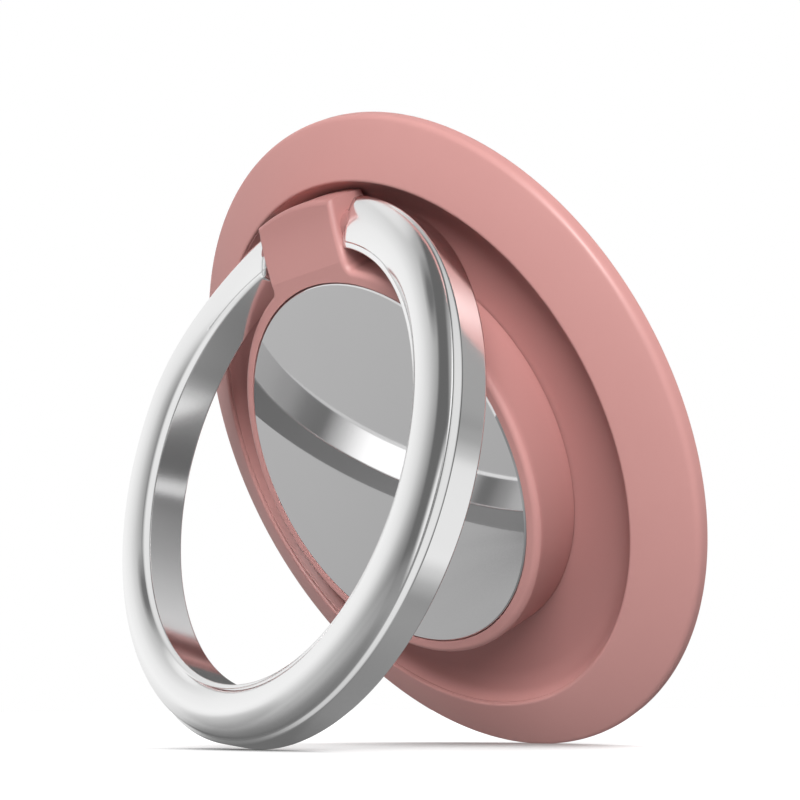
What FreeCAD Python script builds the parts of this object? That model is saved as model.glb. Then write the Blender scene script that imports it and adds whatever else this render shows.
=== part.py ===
import FreeCAD, Part
import math
import os

os.makedirs("parts", exist_ok=True)
V = FreeCAD.Vector

# Sizes in millimetres. The parts are drawn lying on their back, axis along Z,
# hinge at +Y, and are stood up at the end.

# Hub: the middle of the holder. The other radii follow outward from it.
hub_radius = 11.43
hub_front = 4.27
hub_edge_round = 0.33
hub_lip = 0.78
plate_gap = 0.06
plate_proud = 0.03
plate_thickness = 0.8
plate_chamfer = 0.08
tape_thickness = 0.15
tape_margin = 0.35

# Finger ring: straight walls and a flat back, with a round bead along the
# front. The bead is low at the hinge ends, where the front is nearly flat,
# and rises to its full height within the first part of the loop.
ring_clearance = 0.51
ring_band = 2.98
outer_wall_height = 1.46
inner_wall_low = 1.95
inner_wall_full = 2.15
outer_crease_inset = 0.34
outer_crease_rise = 0.34
inner_crease_inset_low = 0.22
inner_crease_inset_full = 0.62
inner_crease_rise_low = 0.17
inner_crease_rise_full = 0.3
bead_top_low = 2.15
bead_top_full = 2.91
bead_offset = 0.05
band_bevel = 0.1
ring_back_depth = 1.13
ring_end_gap = 0.65
ring_lug_radius = 1.6
rise_start = 15.0
rise_end = 70.0

# Base dish: a cast dish with a sloping rim, a hollow channel for the folded
# ring and a seat in the middle for the turning hub.
channel_clearance = 0.9
rim_width = 3.18
rim_edge_height = 0.75
rim_edge_round = 0.28
crest_height = 2.14
crest_round = 0.18
channel_floor = 0.85
channel_cove = 1.5
seat_height = 1.25
seat_margin = 0.15
back_recess = 0.2
back_lip = 1.5
relief_margin = 0.3
rim_relief_width = 1.3
rim_relief_wall = 0.7
back_chamfer = 0.1

# Adhesive pad on the back of the dish.
pad_thickness = 0.8
pad_gap = 0.3

# Swivel: flanged rivet through the dish, cone washer under its flange,
# thin slip washer between the hub and its seat.
rivet_radius = 4.0
rivet_flange_width = 2.0
rivet_flange_thickness = 0.3
rivet_flange_chamfer = 0.1
rivet_depth_in_hub = 1.2
swivel_clearance = 0.05
spring_washer_thickness = 0.12
spring_washer_rise = 0.1
spring_washer_gap = 0.01
recess_gap = 0.3
web_thickness = 0.5
slip_washer_margin = 1.43
slip_washer_inset = 2.0
slip_washer_thickness = 0.2
slip_washer_exposed = 0.05

# Knuckle: a tongue of the hub that reaches out to the hinge.
knuckle_half_width = 3.5
knuckle_overhang = 0.18
knuckle_mid_height = 4.08
knuckle_tip_height = 3.5
knuckle_root_round = 0.5

# Hinge.
hinge_inset = 2.12
pin_radius = 0.6
pin_half_length = 5.75
pin_end_gap = 0.1
pin_press = 0.005
pin_running_gap = 0.03
bush_radius = 1.0
bush_fit = 0.01
bush_wall = 0.25
hinge_washer_radius = 1.1
hinge_washer_play = 0.06

# The pose the holder stands in: the ring opened from its folded place.
ring_opening = 36.5

# Radii that follow from each other, from the plate out to the rim.
plate_radius = hub_radius - hub_lip
ring_inner = hub_radius + ring_clearance
ring_outer = ring_inner + ring_band
crest_radius = ring_outer + channel_clearance
dish_radius = crest_radius + rim_width
hinge_offset = ring_outer - hinge_inset
knuckle_reach = ring_outer + knuckle_overhang
reach = 3 * dish_radius

# The hub's underside, and above it the hinge with its sleeve and wall.
hub_bottom = seat_height + slip_washer_exposed
hinge_height = hub_bottom + bush_wall + bush_radius


def revolve(points):
    outline = Part.makePolygon([V(r, 0, z) for r, z in points + points[:1]])
    return Part.Face(outline).revolve(V(0, 0, 0), V(0, 0, 1), 360)


def revolve_edges(edges):
    return Part.Face(Part.Wire(edges)).revolve(V(0, 0, 0), V(0, 0, 1), 360)


def disc(radius, low, high):
    return Part.makeCylinder(radius, high - low, V(0, 0, low))


def washer(inner, outer, low, high):
    return disc(outer, low, high).cut(disc(inner, low - 1, high + 1))


def bar(radius, left, right, y, z):
    return Part.makeCylinder(radius, right - left, V(left, y, z), V(1, 0, 0))


def line(r1, z1, r2, z2):
    return Part.makeLine(V(r1, 0, z1), V(r2, 0, z2))


def arc(a, b, c):
    points = [V(p[0], 0, p[1]) for p in (a, b, c)]
    return Part.Arc(points[0], points[1], points[2]).toShape()


# Base dish, one turned outline from the back of the hole to the rim. The
# channel is two hollows that meet at its deepest circle.
hole_radius = rivet_radius + swivel_clearance
web_under = seat_height - web_thickness
rivet_flange_radius = rivet_radius + rivet_flange_width
recess_radius = rivet_flange_radius + recess_gap
lip_radius = dish_radius - back_lip
seat_radius = hub_radius - seat_margin
crest_inside = crest_radius - crest_round
crest_side = crest_height - crest_round
deepest = crest_inside - channel_cove


def hollow(start, end):
    # Arc from start to end, level where it is deepest.
    low, far = (end, start) if end[1] < start[1] else (start, end)
    across = far[0] - low[0]
    up = far[1] - low[1]
    radius = (across * across + up * up) / (2 * up)
    middle = across / 2
    height = radius - math.sqrt(radius * radius - middle * middle)
    return arc(start, (low[0] + middle, low[1] + height), end)


relief_outer = lip_radius - relief_margin
relief_inner = relief_outer - rim_relief_width
rim_slope = (crest_height - rim_edge_height) / (dish_radius - crest_radius)
relief_top_outer = crest_height - rim_slope * (relief_outer - crest_radius) - rim_relief_wall
relief_top_inner = crest_height - rim_slope * (relief_inner - crest_radius) - rim_relief_wall
round_turn = rim_edge_round * (1 - math.sqrt(0.5))
crest_turn = crest_round * (1 - math.sqrt(0.5))
dish_edges = [
    line(hole_radius, web_under, hole_radius, seat_height),
    line(hole_radius, seat_height, seat_radius, seat_height),
    hollow((seat_radius, seat_height), (deepest, channel_floor)),
    hollow((deepest, channel_floor), (crest_inside, crest_side)),
    arc((crest_inside, crest_side),
        (crest_inside + crest_turn, crest_height - crest_turn),
        (crest_radius, crest_height)),
    line(crest_radius, crest_height, dish_radius - rim_edge_round, rim_edge_height),
    arc((dish_radius - rim_edge_round, rim_edge_height),
        (dish_radius - round_turn, rim_edge_height - round_turn),
        (dish_radius, rim_edge_height - rim_edge_round)),
    line(dish_radius, rim_edge_height - rim_edge_round, dish_radius, back_chamfer),
    line(dish_radius, back_chamfer, dish_radius - back_chamfer, 0),
    line(dish_radius - back_chamfer, 0, lip_radius, 0),
    line(lip_radius, 0, lip_radius, back_recess),
    line(lip_radius, back_recess, relief_outer, back_recess),
    line(relief_outer, back_recess, relief_outer, relief_top_outer),
    line(relief_outer, relief_top_outer, relief_inner, relief_top_inner),
    line(relief_inner, relief_top_inner, relief_inner, back_recess),
    line(relief_inner, back_recess, recess_radius, back_recess),
    line(recess_radius, back_recess, recess_radius, web_under),
    line(recess_radius, web_under, hole_radius, web_under),
]
base_dish = revolve_edges(dish_edges)

# Foam pad, let into the back of the dish and standing proud of it.
adhesive_pad = disc(lip_radius - pad_gap, back_recess - pad_thickness, back_recess)

# Hub: turned body, with the recess for the plate and the bore for the rivet.
slip_top = seat_height + slip_washer_thickness
plate_front = hub_front + plate_proud
plate_back = plate_front - plate_thickness
tape_back = plate_back - tape_thickness
plate_recess = plate_radius + plate_gap
hub_body = disc(hub_radius, hub_bottom, hub_front)

# Knuckle: side profile pushed through the width, its tip turned to the hub's
# own axis so that it follows the channel. Its sides run into the hub with a
# hollow round, and the whole front edge of hub and knuckle is rounded.
overrun = knuckle_reach + knuckle_overhang
profile = [
    Part.makeLine(V(0, overrun, knuckle_tip_height), V(0, overrun, hub_bottom)),
    Part.makeLine(V(0, overrun, hub_bottom), V(0, 0, hub_bottom)),
    Part.makeLine(V(0, 0, hub_bottom), V(0, 0, hub_front)),
    Part.makeLine(V(0, 0, hub_front), V(0, hub_radius, hub_front)),
    Part.Arc(V(0, hub_radius, hub_front), V(0, hinge_offset, knuckle_mid_height),
             V(0, overrun, knuckle_tip_height)).toShape(),
]
knuckle = Part.Face(Part.Wire(profile)).extrude(V(2 * knuckle_half_width, 0, 0))
knuckle.translate(V(-knuckle_half_width, 0, 0))
knuckle = knuckle.common(disc(knuckle_reach, hub_bottom - 1, hub_front + 1))
rotor_hub = hub_body.fuse(knuckle).removeSplitter()


def root_edges(shape):
    # The two upright edges where the knuckle's sides meet the hub.
    height = math.sqrt(hub_radius ** 2 - knuckle_half_width ** 2)
    found = []
    for edge in shape.Edges:
        box = edge.BoundBox
        upright = box.ZLength > 1 and box.XLength < 0.01 and box.YLength < 0.01
        if upright and abs(box.YMin - height) < 0.01:
            found.append(edge)
    return found


def front_edges(shape):
    # Every edge between the front faces and the upright sides.
    found = []
    for edge in shape.Edges:
        middle = edge.valueAt((edge.FirstParameter + edge.LastParameter) / 2)
        high = min(knuckle_tip_height, hub_front) - 0.3
        across = edge.BoundBox.ZLength < hub_front - hub_bottom - 1
        inside = math.hypot(middle.x, middle.y) < hub_radius - 0.5
        if middle.z > high and across and not inside:
            found.append(edge)
    return found


rotor_hub = rotor_hub.makeFillet(knuckle_root_round, root_edges(rotor_hub))
rotor_hub = rotor_hub.makeFillet(hub_edge_round, front_edges(rotor_hub))
rotor_hub = rotor_hub.cut(disc(plate_recess, tape_back, hub_front + 1))
rotor_hub = rotor_hub.cut(disc(rivet_radius, hub_bottom - 1, seat_height + rivet_depth_in_hub))
slip_washer_outer = hub_radius - slip_washer_margin
slip_washer_inner = rivet_radius + slip_washer_inset
rotor_hub = rotor_hub.cut(washer(slip_washer_inner, slip_washer_outer, hub_bottom - 1, slip_top))
rotor_hub = rotor_hub.cut(bar(bush_radius, -knuckle_half_width - 1, knuckle_half_width + 1,
                              hinge_offset, hinge_height))

# Face plate with a fine chamfer, on its tape.
face_plate = disc(plate_radius, plate_back, plate_front)
front_rim = [e for e in face_plate.Edges if abs(e.BoundBox.ZMin - plate_front) < 1e-6
             and abs(e.BoundBox.ZMax - plate_front) < 1e-6]
face_plate = face_plate.makeChamfer(plate_chamfer, front_rim)
plate_tape = disc(plate_radius - tape_margin, tape_back, plate_back)

# Swivel pieces.
slip_washer = washer(slip_washer_inner, slip_washer_outer, seat_height, slip_top)
flange_front = web_under - spring_washer_thickness - spring_washer_rise - 2 * spring_washer_gap
flange_back = flange_front - rivet_flange_thickness
swivel_rivet = revolve([
    (0, flange_back), (rivet_flange_radius - rivet_flange_chamfer, flange_back),
    (rivet_flange_radius, flange_back + rivet_flange_chamfer), (rivet_flange_radius, flange_front),
    (rivet_radius, flange_front), (rivet_radius, seat_height + rivet_depth_in_hub),
    (0, seat_height + rivet_depth_in_hub),
])
cone_low = flange_front + spring_washer_gap
cone_inner = rivet_radius + 4 * swivel_clearance
cone_outer = rivet_flange_radius - swivel_clearance
spring_washer = revolve([
    (cone_inner, cone_low + spring_washer_rise), (cone_outer, cone_low),
    (cone_outer, cone_low + spring_washer_thickness),
    (cone_inner, cone_low + spring_washer_rise + spring_washer_thickness),
])

# Hinge pieces.
ring_end = knuckle_half_width + ring_end_gap
hinge_pin = bar(pin_radius, -pin_half_length, pin_half_length, hinge_offset, hinge_height)
bush_bore = pin_radius + pin_running_gap
hinge_bush = bar(bush_radius - bush_fit, -knuckle_half_width, knuckle_half_width,
                 hinge_offset, hinge_height)
hinge_bush = hinge_bush.cut(bar(bush_bore, -ring_end, ring_end, hinge_offset, hinge_height))
washer_left = bar(hinge_washer_radius, knuckle_half_width, ring_end - hinge_washer_play,
                  hinge_offset, hinge_height)
washer_left = washer_left.cut(bar(bush_bore, 0, ring_end + 1, hinge_offset, hinge_height))
washer_right = washer_left.mirror(V(0, 0, 0), V(1, 0, 0))
hinge_washers = Part.makeCompound([washer_left, washer_right])

# Finger ring: sections round the loop, lofted, then cut to the gap, bored
# for the pin and rounded about the hinge so that its ends clear the channel.
ring_back = hinge_height - ring_back_depth
ring_middle = (ring_inner + ring_outer) / 2


def ease(angle):
    part = (angle - rise_start) / (rise_end - rise_start)
    part = min(max(part, 0), 1)
    return part * part * (3 - 2 * part)


def between(low, full, rise):
    return low + (full - low) * rise


def ring_section(degrees):
    rise = ease(min(degrees, 360 - degrees))
    inner_wall = between(inner_wall_low, inner_wall_full, rise)
    bead_top = between(bead_top_low, bead_top_full, rise)
    inset = between(inner_crease_inset_low, inner_crease_inset_full, rise)
    crease_rise = between(inner_crease_rise_low, inner_crease_rise_full, rise)
    turn = math.radians(degrees)

    def at(r, h):
        return V(r * math.sin(turn), r * math.cos(turn), ring_back + h)

    inner_crease = at(ring_inner + inset, inner_wall + crease_rise)
    outer_crease = at(ring_outer - outer_crease_inset, outer_wall_height + outer_crease_rise)
    corners = [
        inner_crease, at(ring_inner, inner_wall),
        at(ring_inner, band_bevel), at(ring_inner + band_bevel, 0),
        at(ring_outer - band_bevel, 0), at(ring_outer, band_bevel),
        at(ring_outer, outer_wall_height), outer_crease,
    ]
    bead = Part.Arc(outer_crease, at(ring_middle + bead_offset, bead_top), inner_crease)
    edges = [Part.makeLine(a, b) for a, b in zip(corners[:-1], corners[1:])]
    return Part.Wire(edges + [bead.toShape()])


stations = [12, 20, 28, 36, 44, 52, 60, 70, 80, 95, 110, 125, 140, 160, 180]
stations = stations + [360 - s for s in reversed(stations[:-1])]
finger_ring = Part.makeLoft([ring_section(s) for s in stations], True, False)
gap = Part.makeBox(2 * ring_end, reach, reach, V(-ring_end, 0, ring_back - reach / 2))
finger_ring = finger_ring.cut(gap)
behind = Part.makeBox(2 * reach, reach + hinge_offset, reach, V(-reach, -reach, ring_back - reach / 2))
lug = bar(ring_lug_radius, -reach, reach, hinge_offset, hinge_height)
finger_ring = finger_ring.common(behind.fuse(lug))
pin_bore = bar(pin_radius + pin_press, -pin_half_length - pin_end_gap,
               pin_half_length + pin_end_gap, hinge_offset, hinge_height)
finger_ring = finger_ring.cut(pin_bore)

# Open the ring about the hinge to the angle it stands at.
hinge_point = V(0, hinge_offset, hinge_height)
for piece in (finger_ring, hinge_pin):
    piece.rotate(hinge_point, V(-1, 0, 0), ring_opening)

pieces = {
    "base_dish": base_dish,
    "adhesive_pad": adhesive_pad,
    "rotor_hub": rotor_hub,
    "face_plate": face_plate,
    "plate_tape": plate_tape,
    "slip_washer": slip_washer,
    "swivel_rivet": swivel_rivet,
    "spring_washer": spring_washer,
    "hinge_bush": hinge_bush,
    "hinge_washers": hinge_washers,
    "hinge_pin": hinge_pin,
    "finger_ring": finger_ring,
}


def spread(shape):
    return [(p.y, p.z) for p in shape.tessellate(0.01)[0]]


def lowest(points, tilt):
    # Height of the lowest point once the dish stands on its rim, leaning by tilt.
    lean = math.radians(tilt)
    return min(y * math.cos(lean) - z * math.sin(lean) for y, z in points)


# Lean at which the dish's rim and the open ring touch the table together.
dish_points = spread(base_dish)
ring_points = spread(finger_ring)
low_tilt = 1.0
high_tilt = 80.0
for _ in range(50):
    stand_tilt = (low_tilt + high_tilt) / 2
    if lowest(ring_points, stand_tilt) > lowest(dish_points, stand_tilt):
        low_tilt = stand_tilt
    else:
        high_tilt = stand_tilt
lean = math.radians(stand_tilt)
lift = -lowest(dish_points + ring_points, stand_tilt)
depths = [-y * math.sin(lean) - z * math.cos(lean) for y, z in dish_points + ring_points]
shift = -(min(depths) + max(depths)) / 2
stand = FreeCAD.Placement(V(0, shift, lift), FreeCAD.Rotation(V(1, 0, 0), 90 + stand_tilt))
print("stand_tilt", stand_tilt, "lift", lift, "shift", shift)
print("hinge", stand.multVec(hinge_point), "axis origin", stand.multVec(V(0, 0, 0)))
print("axis", stand.Rotation.multVec(V(0, 0, 1)), "pad", stand.multVec(V(0, 0, back_recess - pad_thickness)))

for name, piece in pieces.items():
    piece.Placement = stand.multiply(piece.Placement)
    box = piece.BoundBox
    print(name, piece.isValid(), len(piece.Solids), round(piece.Volume, 3), box)
    piece.exportStep("parts/" + name + ".step")
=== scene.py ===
import math

import bmesh
import bpy
from mathutils import Matrix, Vector


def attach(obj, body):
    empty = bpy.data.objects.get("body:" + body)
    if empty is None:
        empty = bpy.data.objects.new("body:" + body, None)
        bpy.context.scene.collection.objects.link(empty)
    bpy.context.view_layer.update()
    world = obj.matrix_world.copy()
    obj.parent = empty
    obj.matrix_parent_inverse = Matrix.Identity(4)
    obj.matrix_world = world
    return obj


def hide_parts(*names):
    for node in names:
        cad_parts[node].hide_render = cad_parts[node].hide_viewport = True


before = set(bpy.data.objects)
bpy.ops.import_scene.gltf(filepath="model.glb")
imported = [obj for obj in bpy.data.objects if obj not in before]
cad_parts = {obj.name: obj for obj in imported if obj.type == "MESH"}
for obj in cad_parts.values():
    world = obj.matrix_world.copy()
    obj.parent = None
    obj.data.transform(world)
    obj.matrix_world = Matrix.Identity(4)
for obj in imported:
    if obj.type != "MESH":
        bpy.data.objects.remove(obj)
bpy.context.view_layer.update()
mm = 0.001


# Turning hub: zinc alloy, cast in one with the hinge knuckle, tumbled smooth
# and plated in a satin rose finish. A rivet from the back holds it in the dish.
class Value:
    """A number or colour inside a material, used in plain sums."""

    def __init__(self, paint, socket):
        self.paint = paint
        self.socket = socket

    def sum(self, operation, first, second):
        node = self.paint.node("ShaderNodeMath", {"operation": operation}, {0: first, 1: second})
        return Value(self.paint, node.outputs[0])

    def __add__(self, other):
        return self.sum("ADD", self, other)

    __radd__ = __add__

    def __sub__(self, other):
        return self.sum("SUBTRACT", self, other)

    def __rsub__(self, other):
        return self.sum("SUBTRACT", other, self)

    def __mul__(self, other):
        return self.sum("MULTIPLY", self, other)

    __rmul__ = __mul__


class Finish:
    """A surface finish, or the studio's light: nodes that are added by type."""

    def __init__(self, name, kind="materials"):
        self.material = getattr(bpy.data, kind).new(name)
        self.material.use_nodes = True
        self.tree = self.material.node_tree
        self.tree.nodes.clear()

    def node(self, kind, settings, inputs):
        node = self.tree.nodes.new(kind)
        for name, setting in settings.items():
            setattr(node, name, setting)
        for name, value in inputs.items():
            socket = node.inputs[name]
            if isinstance(value, Value):
                self.tree.links.new(value.socket, socket)
            else:
                socket.default_value = value
        return node

    def value(self, kind, settings, inputs, output=0):
        return Value(self, self.node(kind, settings, inputs).outputs[output])

    def place(self):
        return self.value("ShaderNodeTexCoord", {}, {}, "Object")

    def noise(self, scale, detail=3.0):
        inputs = {"Vector": self.place(), "Scale": scale, "Detail": detail}
        return self.value("ShaderNodeTexNoise", {}, inputs, "Fac")

    def blend(self, factor, first, second):
        settings = {"data_type": "RGBA"}
        inputs = {0: factor, 6: first, 7: second}
        return self.value("ShaderNodeMix", settings, inputs, 2)

    def bump(self, height, distance, strength=1.0):
        inputs = {"Height": height, "Distance": distance, "Strength": strength}
        return self.value("ShaderNodeBump", {}, inputs)

    def ramp(self, factor, stops, ease="EASE"):
        node = self.node("ShaderNodeValToRGB", {}, {"Fac": factor})
        steps = node.color_ramp
        steps.interpolation = ease
        steps.elements.remove(steps.elements[1])
        steps.elements[0].position = stops[0][0]
        steps.elements[0].color = (stops[0][1],) * 3 + (1,)
        for place, level in stops[1:]:
            steps.elements.new(place).color = (level,) * 3 + (1,)
        return Value(self, node.outputs[0])

    def fade(self, distance, reach, stops):
        # A ramp over a distance, with its stops in millimetres up to reach.
        return self.ramp(distance * (1 / (reach * mm)),
                         [(place / reach, level) for place, level in stops])

    def surface(self, inputs):
        shader = self.value("ShaderNodeBsdfPrincipled", {}, inputs)
        self.node("ShaderNodeOutputMaterial", {}, {"Surface": shader})


def coat_node(name, finish):
    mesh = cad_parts[name].data
    mesh.materials.clear()
    mesh.materials.append(finish.material)


# The holder leans on its ring. Its swivel axis goes through the middle of the
# dish's back, given in millimetres.
lean = math.radians(26.73957553902563)
middle = Vector((0, 2.8779011371957193, 17.209164349429816))
forward = Vector((0, -math.cos(lean), -math.sin(lean)))

# Painted shade: the plating's colour darkens inside the crest, in the channel and
# low down on the hub's side, where shade falls.
rose = Finish("satin_rose_plating")
rose_cloud = rose.noise(180.0)
rose_grain = rose.noise(9000.0, 2.0)
from_middle = rose.value("ShaderNodeVectorMath", {"operation": "SUBTRACT"},
                         {0: rose.place(), 1: middle * mm})
rise = rose.value("ShaderNodeVectorMath", {"operation": "DOT_PRODUCT"},
                  {0: from_middle, 1: forward}, "Value")
aside = rose.value("ShaderNodeVectorMath", {"operation": "CROSS_PRODUCT"},
                   {0: from_middle, 1: forward})
radius = rose.value("ShaderNodeVectorMath", {"operation": "LENGTH"}, {0: aside}, "Value")
# Painted shade masks: inside the crest, and low down towards the dish's back.
channel_shade_mask = rose.fade(radius, 20.0, [(15.1, 1.0), (15.7, 0.0)])
low_shade_mask = rose.fade(rise, 5.0, [(1.0, 0.8), (1.8, 0.56), (3.6, 0.50), (4.3, 0.0)])
rose_face = rose.blend(rose_cloud, (0.62, 0.305, 0.288, 1), (0.65, 0.325, 0.305, 1))
# The darker rose of the painted shade in the channel and on the hub's side.
rose_painted_shade = (0.40, 0.18, 0.17, 1)
rose.surface({
    "Base Color": rose.blend(channel_shade_mask * low_shade_mask, rose_face, rose_painted_shade),
    "Specular IOR Level": 0.13,
    "Roughness": 0.42 + 0.05 * rose_cloud,
    "Normal": rose.bump(rose_grain, 0.000003),
})
coat_node("rotor_hub", rose)


# Base dish: zinc alloy, cast and plated as the hub is. Round the hub's seat it
# has a hollow channel, a crest and a sloping rim with a rounded edge. The pad
# and the rivet's flange lie in recesses at its back.
rivet_hole = 4.05
web_back = 0.75
seat_top = 1.23
seat_edge = 11.28
seat_round = 0.03
channel_start = (11.32, 1.24)
channel_floor = (14.14, 0.85)
crest_foot = (15.64, 1.96)
crest_top = (15.66, 2.14)
crest_round = 0.17
rim_start = (15.82, 2.14)
rim_edge = (19.0, 0.75)
rim_round = 0.30
back_edge = (19.0, 0.0)
back_round = 0.12
pad_radius = 17.5
pad_depth = 0.2
pad_edge_round = 0.04
flange_recess = 6.3
# From the holder lying on its back, hinge at +Y and in millimetres, to where it
# stands on the table.
to_table = Matrix.Translation(middle * mm) @ \
    Matrix.Rotation(math.radians(90) + lean, 4, "X") @ Matrix.Scale(mm, 4)


def soften(corner, before, after, size, steps=5):
    # Points of a small round in place of a corner, with a support point each side.
    corner, before, after = Vector(corner), Vector(before), Vector(after)
    one = (before - corner).normalized() * size
    two = (after - corner).normalized() * size
    points = [corner + one * 1.3]
    for step in range(steps + 1):
        t = step / steps
        points.append(corner + one * (1 - t) ** 2 + two * t ** 2)
    points.append(corner + two * 1.3)
    return points


def arc_points(first, between, last, count):
    # Points of the circle arc from first over between to last, ends included.
    (ax, ay), (bx, by), (cx, cy) = first, between, last
    d = 2 * (ax * (by - cy) + bx * (cy - ay) + cx * (ay - by))
    a2, b2, c2 = ax * ax + ay * ay, bx * bx + by * by, cx * cx + cy * cy
    centre = Vector(((a2 * (by - cy) + b2 * (cy - ay) + c2 * (ay - by)) / d,
                     (a2 * (cx - bx) + b2 * (ax - cx) + c2 * (bx - ax)) / d))
    start = Vector(first) - centre
    halfway = Vector(between) - centre
    sweep = start.angle_signed(halfway) + halfway.angle_signed(Vector(last) - centre)
    points = []
    for step in range(count + 1):
        turn = -sweep * step / count
        points.append(centre + Vector((start.x * math.cos(turn) - start.y * math.sin(turn),
                                       start.x * math.sin(turn) + start.y * math.cos(turn))))
    return points


def hollow_points(start, end, count):
    # Arc from start to end that is level at its deeper end.
    low_shade_mask, far = (end, start) if end[1] < start[1] else (start, end)
    across = far[0] - low_shade_mask[0]
    up = far[1] - low_shade_mask[1]
    radius = (across * across + up * up) / (2 * up)
    height = radius - math.sqrt(radius * radius - across * across / 4)
    return arc_points(start, (low_shade_mask[0] + across / 2, low_shade_mask[1] + height), end, count)


def new_piece(name, mesh_data, finish, body):
    mesh = bpy.data.meshes.new(name)
    mesh_data.normal_update()
    mesh_data.to_mesh(mesh)
    mesh_data.free()
    for face in mesh.polygons:
        face.use_smooth = True
    mesh.materials.append(finish.material)
    piece = bpy.data.objects.new(name, mesh)
    bpy.context.collection.objects.link(piece)
    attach(piece, body)
    return piece


# The dish's outline in radius and height, turned round the swivel axis.
dish_line = [Vector((rivet_hole, web_back)), Vector((rivet_hole, seat_top))]
seat_corner = (seat_edge, seat_top)
below_seat = (seat_edge + 0.32, seat_top - 0.03)
beside_crest = (crest_top[0] + 0.24, crest_top[1] - 0.035)
pad_edge = (pad_radius, 0.0)
dish_line += soften(seat_corner, dish_line[-1], below_seat, seat_round, 2)
dish_line += hollow_points(channel_start, channel_floor, 20)[1:]
dish_line += hollow_points(channel_floor, crest_foot, 20)[1:]
dish_line += soften(crest_top, crest_foot, beside_crest, crest_round, 8)
dish_line += soften(rim_edge, rim_start, back_edge, rim_round, 10)
dish_line += soften(back_edge, rim_edge, pad_edge, back_round, 4)
dish_line += soften(pad_edge, back_edge, (pad_radius, pad_depth), pad_edge_round, 3)
dish_line += [Vector((pad_radius, pad_depth)), Vector((flange_recess, pad_depth)),
              Vector((flange_recess, web_back))]
dish_mesh = bmesh.new()
corners = [dish_mesh.verts.new((0, point.x, point.y)) for point in dish_line]
sides = [dish_mesh.edges.new(pair) for pair in zip(corners, corners[1:] + corners[:1])]
bmesh.ops.spin(dish_mesh, geom=corners + sides, cent=(0, 0, 0), axis=(0, 0, 1),
               angle=2 * math.pi, steps=576, use_merge=True)
bmesh.ops.transform(dish_mesh, matrix=to_table, verts=dish_mesh.verts)
bmesh.ops.recalc_face_normals(dish_mesh, faces=dish_mesh.faces)
dish = new_piece("dish_surface", dish_mesh, rose, "base")
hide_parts("base_dish")


# Face plate: a disc of polished steel taped into the hub, so that magnetic
# holders can grip it. It mirrors the ring.
plate = Finish("polished_plate")
plate_cloud = plate.noise(120.0)
plate.surface({
    "Base Color": plate.blend(plate_cloud, (0.86, 0.855, 0.86, 1), (0.9, 0.895, 0.9, 1)),
    "Metallic": 1.0,
    "Roughness": 0.025 + 0.015 * plate_cloud,
})
coat_node("face_plate", plate)


# Finger ring: cast, polished and plated bright. Flat walls and back, a round
# bead in front that is low at the hinge, and ends rounded about the hinge pin.
bright = Finish("bright_ring_plating")
bright_cloud = bright.noise(150.0)
bright.surface({
    "Base Color": bright.blend(bright_cloud, (0.90, 0.90, 0.90, 1), (0.94, 0.94, 0.94, 1)),
    "Metallic": 1.0,
    "Roughness": 0.11 + 0.04 * bright_cloud,
})
ring_inner = 11.94
ring_outer = 14.92
ring_middle = (ring_inner + ring_outer) / 2
ring_back = 1.42
half_height = 1.2
inner_wall = 1.95
inner_wall_rise = 0.20
outer_wall = 1.56
outer_wall_at_hinge = 0.14
inner_crease = 0.16
inner_crease_gain = 0.28
outer_crease = 0.14
outer_crease_gain = 0.30
crease_height = 0.10
bead_at_hinge = 2.15
bead_rise = 0.76
corner_round = 0.06
back_corner_round = 0.10
ring_end = 3.68
end_round = 0.22
end_steps = 6
ring_steps = 260
hinge = Vector((0, 12.8, 2.55))
lug_radius = 1.6
opening = math.radians(36.5)
opened = Matrix.Translation(hinge) @ Matrix.Rotation(-opening, 4, "X") @ \
    Matrix.Translation(-hinge)


def eased(value, start, end):
    # 0 before start and 1 past end, with a soft passage between them.
    part = min(max((value - start) / (end - start), 0.0), 1.0)
    return part * part * (3 - 2 * part)


def ring_outline(degrees):
    # The ring's section at an angle from the hinge, as radius and height. The
    # creases beside the bead are deepest at the side of the ring.
    rise = eased(degrees, 15.0, 70.0)
    fall = eased(degrees, 155.0, 95.0)
    strip = eased(degrees, 46.0, 82.0) * (0.3 + 0.7 * fall)
    wall = inner_wall + inner_wall_rise * rise
    side = outer_wall + outer_wall_at_hinge * eased(degrees, 62.0, 18.0)
    inset = inner_crease + inner_crease_gain * rise * (0.25 + 0.75 * fall)
    inner = (ring_inner + inset, wall + crease_height + 0.06 * rise * (0.4 + 0.6 * fall))
    outset = outer_crease + outer_crease_gain * strip
    outer = (ring_outer - outset, side + crease_height + 0.05 * strip)
    top = (ring_middle + 0.05, bead_at_hinge + bead_rise * rise)
    line = arc_points(outer, top, inner, 28)[1:-1]
    line = soften(outer, (ring_outer, side), line[0], 0.05, 3) + line
    line += soften(inner, line[-1], (ring_inner, wall), 0.08, 4)
    inner_foot, outer_foot = (ring_inner, 0.0), (ring_outer, 0.0)
    line += soften((ring_inner, wall), inner, inner_foot, corner_round, 4)
    line += soften(inner_foot, (ring_inner, wall), outer_foot, back_corner_round, 4)
    line += soften(outer_foot, inner_foot, (ring_outer, side), back_corner_round, 4)
    line += soften((ring_outer, side), outer_foot, outer, corner_round, 4)
    return line


def ring_point(place, side, x, inset):
    # One point of the closed ring, drawn in and rounded about the pin at its ends.
    shrink = 1 - inset / half_height
    radius = ring_middle + (place.x - ring_middle) * shrink
    y = side * math.sqrt(max(radius * radius - x * x, 0.0))
    z = ring_back + half_height + (place.y - half_height) * shrink
    off = math.hypot(y - hinge.y, z - hinge.z)
    if y > hinge.y and off > lug_radius:
        y = hinge.y + (y - hinge.y) * lug_radius / off
        z = hinge.z + (z - hinge.z) * lug_radius / off
    return x, y, z


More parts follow.
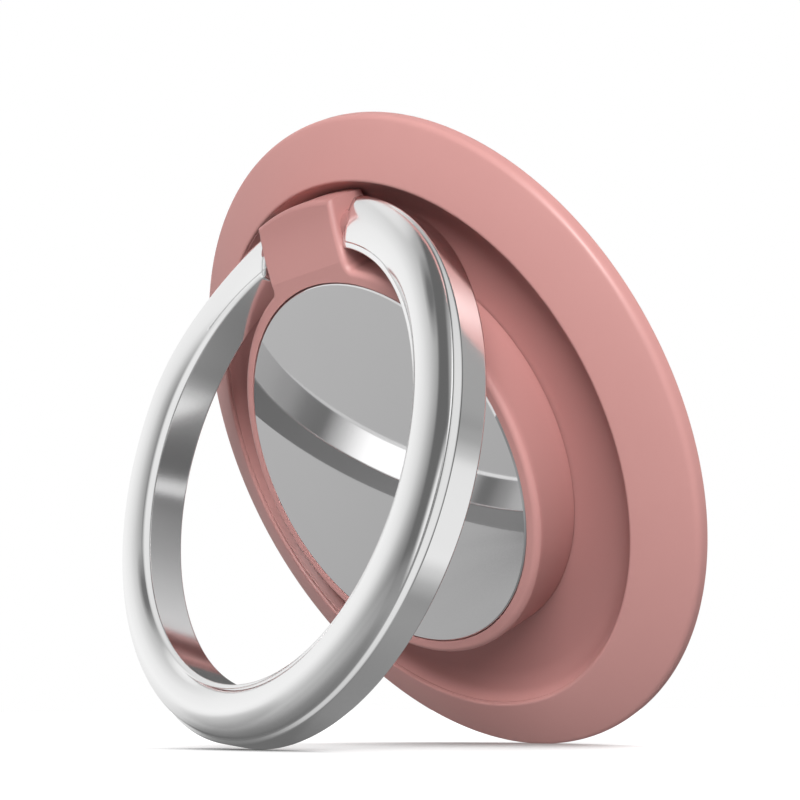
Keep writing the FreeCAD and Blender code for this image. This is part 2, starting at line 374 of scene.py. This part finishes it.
# The sections run from one end of the ring, at one side of the knuckle, round
# to the other: how far round, how far back from the end, and how far drawn in.
# Two lie in one place where an end's rounding meets the body: a line shows there.
ends = []
for step in range(end_steps + 1):
    bend = step / end_steps * math.pi / 2
    ends.append((end_round * (1 - math.cos(bend)), end_round * (1 - math.sin(bend))))
sections = [(0.0, back_step, inset) for back_step, inset in ends]
sections += [(step / ring_steps, end_round, 0.0) for step in range(ring_steps + 1)]
sections += [(1.0, back_step, inset) for back_step, inset in reversed(ends)]
ring_mesh = bmesh.new()
loops = []
for part, back_step, inset in sections:
    reach = ring_end + back_step
    start = math.asin(reach / ring_middle)
    along = start + part * (2 * math.pi - 2 * start)
    corners = []
    for place in ring_outline(math.degrees(min(along, 2 * math.pi - along))):
        first = math.asin(reach / place.x)
        turn = first + part * (2 * math.pi - 2 * first)
        side = 1.0 if math.cos(turn) > 0 else -1.0
        point = ring_point(place, side, place.x * math.sin(turn), inset)
        corners.append(ring_mesh.verts.new(point))
    loops.append([ring_mesh.edges.new(pair) for pair in zip(corners, corners[1:] + corners[:1])])
for one, two in zip(loops, loops[1:]):
    bmesh.ops.bridge_loops(ring_mesh, edges=one + two)
bmesh.ops.edgeloop_fill(ring_mesh, edges=loops[0])
bmesh.ops.edgeloop_fill(ring_mesh, edges=loops[-1])
bmesh.ops.transform(ring_mesh, matrix=to_table @ opened, verts=ring_mesh.verts)
bmesh.ops.recalc_face_normals(ring_mesh, faces=ring_mesh.faces)
ring = new_piece("ring_surface", ring_mesh, bright, "ring")
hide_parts("finger_ring")


# Hinge pin, rivet and cone washer: plain steel, drawn, headed and punched. All
# three are hidden when the holder is put together.
steel = Finish("plain_steel")
steel_cloud = steel.noise(900.0)
steel.surface({
    "Base Color": steel.blend(steel_cloud, (0.5, 0.5, 0.5, 1), (0.58, 0.58, 0.58, 1)),
    "Metallic": 1.0,
    "Roughness": 0.3 + 0.1 * steel_cloud,
})
for name in ("hinge_pin", "swivel_rivet", "spring_washer"):
    coat_node(name, steel)


# Hinge bush and slip washer: natural nylon, turned and punched. The hinge
# washers are nylon too; their dark rose is painted shade where their edges show beside the
# knuckle.
nylon = Finish("natural_nylon")
nylon_cloud = nylon.noise(900.0)
nylon.surface({
    "Base Color": nylon.blend(nylon_cloud, (0.7, 0.69, 0.65, 1), (0.76, 0.75, 0.7, 1)),
    "Roughness": 0.5 + 0.1 * nylon_cloud,
})
for name in ("hinge_bush", "slip_washer"):
    coat_node(name, nylon)
# Painted shade: the hinge washers' dark rose stands in for the shade beside the knuckle.
shade_toned_nylon = Finish("shade_toned_nylon")
tinted_cloud = shade_toned_nylon.noise(900.0)
shade_toned_nylon.surface({
    "Base Color": shade_toned_nylon.blend(tinted_cloud, (0.42, 0.19, 0.18, 1), (0.46, 0.21, 0.20, 1)),
    "Roughness": 0.5 + 0.1 * tinted_cloud,
})
coat_node("hinge_washers", shade_toned_nylon)


# Adhesive pad and plate tape: black closed-cell foam with adhesive on both
# sides, punched out of sheet and pressed into their recesses.
foam = Finish("foam_pad")
foam_cells = foam.noise(4000.0, 6.0)
foam.surface({
    "Base Color": foam.blend(foam_cells, (0.035, 0.035, 0.037, 1), (0.07, 0.07, 0.072, 1)),
    "Roughness": 0.75 + 0.15 * foam_cells,
    "Normal": foam.bump(foam_cells, 0.00004),
})
coat_node("adhesive_pad", foam)
coat_node("plate_tape", foam)


# Floor: a pale table that shows white to the camera through a glow on top of its
# lit colour. The glow dims near the holder, a painted soft shadow over its real one.
# In the metal it shows as the studio, with painted shade where the holder stands close.
floor_mesh = bpy.data.meshes.new("floor")
floor_reach = 3.0
floor_mesh.from_pydata(
    [(-floor_reach, -floor_reach, 0), (floor_reach, -floor_reach, 0),
     (floor_reach, floor_reach, 0), (-floor_reach, floor_reach, 0)],
    [], [(0, 1, 2, 3)])
floor = bpy.data.objects.new("floor", floor_mesh)
bpy.context.collection.objects.link(floor)
floor.visible_diffuse = False
pale = Finish("pale_floor")
near = pale.value("ShaderNodeAmbientOcclusion", {"samples": 8}, {"Distance": 10 * mm}, "AO")
openness = pale.ramp(near, [(0.0, 0.0), (0.3, 0.1), (0.9, 1.0)])
# Painted shadow: the floor's glow fades where the holder stands close to it.
around = pale.value("ShaderNodeAmbientOcclusion", {"samples": 8}, {"Distance": 14 * mm}, "AO")
soft_shadow = pale.ramp(around, [(0.3, 0.0), (0.6, 0.72), (0.92, 1.0)], "LINEAR")
lit = pale.value("ShaderNodeBsdfPrincipled", {}, {
    "Base Color": (0.5, 0.5, 0.5, 1),
    "Roughness": 1.0,
    "Specular IOR Level": 0.0,
    "Emission Color": soft_shadow,
    "Emission Strength": 0.80,
})
# Painted shade: a dim glow that the metal shows on the table near the holder.
mirror_painted_shade = pale.value("ShaderNodeEmission", {}, {"Color": (0.15, 0.15, 0.15, 1)})
clear = pale.value("ShaderNodeBsdfTransparent", {}, {})
in_mirrors = pale.value("ShaderNodeMixShader", {}, {0: openness, 1: mirror_painted_shade, 2: clear})
floor_glossy = pale.value("ShaderNodeLightPath", {}, {}, "Is Glossy Ray")
either = pale.value("ShaderNodeMixShader", {}, {0: floor_glossy, 1: lit, 2: in_mirrors})
pale.node("ShaderNodeOutputMaterial", {}, {"Surface": either})
floor_mesh.materials.append(pale.material)


# Studio light: what polished surfaces mirror is drawn on the world, a wide soft
# panel at the left that fades round behind the camera and towards the table and
# the ceiling, smaller panels at the right, and a dim room elsewhere.
studio = Finish("studio", "worlds")
bpy.context.scene.world = studio.material
toward = studio.value("ShaderNodeTexCoord", {}, {}, "Generated")
# How high a direction points: 0 straight down, 0.5 level and 1 straight up.
height = studio.value("ShaderNodeSeparateXYZ", {}, {0: toward}, 2) * 0.5 + 0.5


def facing(x, y, z):
    # How far a direction points towards (x, y, z), from -1 to 1.
    aim = Vector((x, y, z)).normalized()
    settings = {"operation": "DOT_PRODUCT"}
    return studio.value("ShaderNodeVectorMath", settings, {0: toward, 1: aim}, "Value")


def side_of(x, y, z):
    # The same from 0 to 1, with 0.5 at right angles.
    return facing(x, y, z) * 0.5 + 0.5


main_panel = studio.ramp(side_of(-0.945, -0.253, 0.208),
                         [(0.0, 0.0), (0.14, 0.10), (0.27, 0.27), (0.44, 0.49), (0.62, 0.72),
                          (0.81, 0.88), (1.0, 1.0)], "LINEAR")
border = studio.ramp(side_of(-0.5, -0.866, 0.0), [(0.455, 0.0), (0.545, 1.0)])
below = studio.ramp(height, [(0.37, 1.0), (0.46, 0.0)])
table_side = studio.ramp(side_of(-0.259, -0.966, 0.0), [(0.455, 0.0), (0.535, 1.0)])
border = border * (1 - below * (1 - table_side))
panel_fade = studio.ramp(height, [(0.0, 0.08), (0.05, 0.22), (0.15, 0.33), (0.215, 0.50),
                                  (0.29, 0.62), (0.37, 0.75), (0.46, 0.92), (0.55, 1.0),
                                  (0.75, 0.93), (0.85, 0.80), (0.95, 0.60), (1.0, 0.42)],
                         "LINEAR")
table_tone = studio.ramp(facing(-0.795, -0.478, -0.375), [(0.93, 1.0), (0.985, 0.66)])
overhead = studio.ramp(facing(0.1873, -0.3244, 0.9272),
                       [(0.927, 1.0), (0.966, 0.6), (0.980, 0.42), (0.992, 0.1)])
low_panel = studio.ramp(facing(0.779, 0.5455, -0.309),
                        [(0.866, 0.0), (0.906, 0.15), (0.940, 0.40), (0.966, 0.70)])
high_panel = studio.ramp(facing(0.524, 0.721, 0.454), [(0.87, 0.0), (0.97, 0.24)])
table = studio.ramp(height, [(0.0, 0.08), (0.10, 0.17), (0.17, 0.12), (0.27, 0.0)])
top_glow = studio.ramp(facing(-0.498, 0.0436, 0.866), [(0.95, 0.0), (0.985, 0.2), (1.0, 0.32)])
panel_strength = 0.83
dim_room = 0.14
mirrored = main_panel * border * panel_fade * table_tone * overhead * panel_strength + \
    low_panel + high_panel + table + dim_room + top_glow

# The panel that the plate shows by way of the ring is there only for light that
# has met two polished surfaces.
rays = studio.node("ShaderNodeLightPath", {}, {})
twice = studio.value("ShaderNodeMath", {"operation": "GREATER_THAN"},
                     {0: Value(studio, rays.outputs["Glossy Depth"]), 1: 1.5})
ring_panel = studio.ramp(facing(0.803, -0.3244, 0.5), [(0.70, 0.0), (0.848, 0.5), (0.95, 1.0)],
                         "LINEAR")
ring_panel_strength = 1.15
mirrored = mirrored + twice * ring_panel * ring_panel_strength

# Everything else gets an even light, and the camera sees white.
even_light = 0.32
white = (1, 1, 1, 1)
seen = studio.value("ShaderNodeBackground", {}, {"Color": white, "Strength": 1.0})
polished = studio.value("ShaderNodeBackground", {}, {"Color": mirrored, "Strength": 1.0})
soft = studio.value("ShaderNodeBackground", {}, {"Color": white, "Strength": even_light})
by_gloss = studio.value("ShaderNodeMixShader", {},
                        {0: Value(studio, rays.outputs["Is Glossy Ray"]), 1: soft, 2: polished})
by_camera = studio.value("ShaderNodeMixShader", {},
                         {0: Value(studio, rays.outputs["Is Camera Ray"]), 1: by_gloss, 2: seen})
studio.node("ShaderNodeOutputWorld", {}, {"Surface": by_camera})


# Lamps: a wide key light from above and right of the camera, a fill light from
# behind for the pad's side, and a small one that only gives the rose parts the
# highlights along their edges.
def lamp(name, direction, strength, spread):
    light = bpy.data.lights.new(name, "SUN")
    light.energy = strength
    light.angle = math.radians(spread)
    holder = bpy.data.objects.new(name, light)
    bpy.context.collection.objects.link(holder)
    holder.matrix_world = Vector(direction).to_track_quat("Z", "Y").to_matrix().to_4x4()
    return holder


key = lamp("key_light", (0.70, -0.62, 0.36), 3.35, 32)
key.visible_glossy = False
fill = lamp("fill_light", (-0.25, 0.90, 0.42), 2.2, 40)
fill.visible_glossy = False
edge = lamp("edge_light", (0.64, -0.68, 0.30), 15.0, 13)
edge.visible_diffuse = False
rose_parts = bpy.data.collections.new("rose_parts")
rose_parts.objects.link(dish)
rose_parts.objects.link(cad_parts["rotor_hub"])
edge.light_linking.receiver_collection = rose_parts


# Camera: at table height, looking a little upwards, from the hinge's right.
camera_place = Vector((75.33, -58.52, 1.97)) * mm
camera_azimuth = math.radians(51.934)
camera_rise = math.radians(-10.20)
camera_roll = math.radians(-0.319)
camera_data = bpy.data.cameras.new("camera")
camera_data.sensor_width = 36.0
camera_data.lens = 77.45
camera_data.clip_start = 0.001
camera = bpy.data.objects.new("camera", camera_data)
bpy.context.collection.objects.link(camera)
back = Vector((
    math.sin(camera_azimuth) * math.cos(camera_rise),
    -math.cos(camera_azimuth) * math.cos(camera_rise),
    math.sin(camera_rise)))
right = Vector((math.cos(camera_azimuth), math.sin(camera_azimuth), 0))
aim = Matrix((right, back.cross(right), back)).transposed().to_4x4()
camera.matrix_world = Matrix.Translation(camera_place) @ aim @ Matrix.Rotation(camera_roll, 4, "Z")
bpy.context.scene.camera = camera
bpy.context.scene.view_settings.view_transform = "Standard"
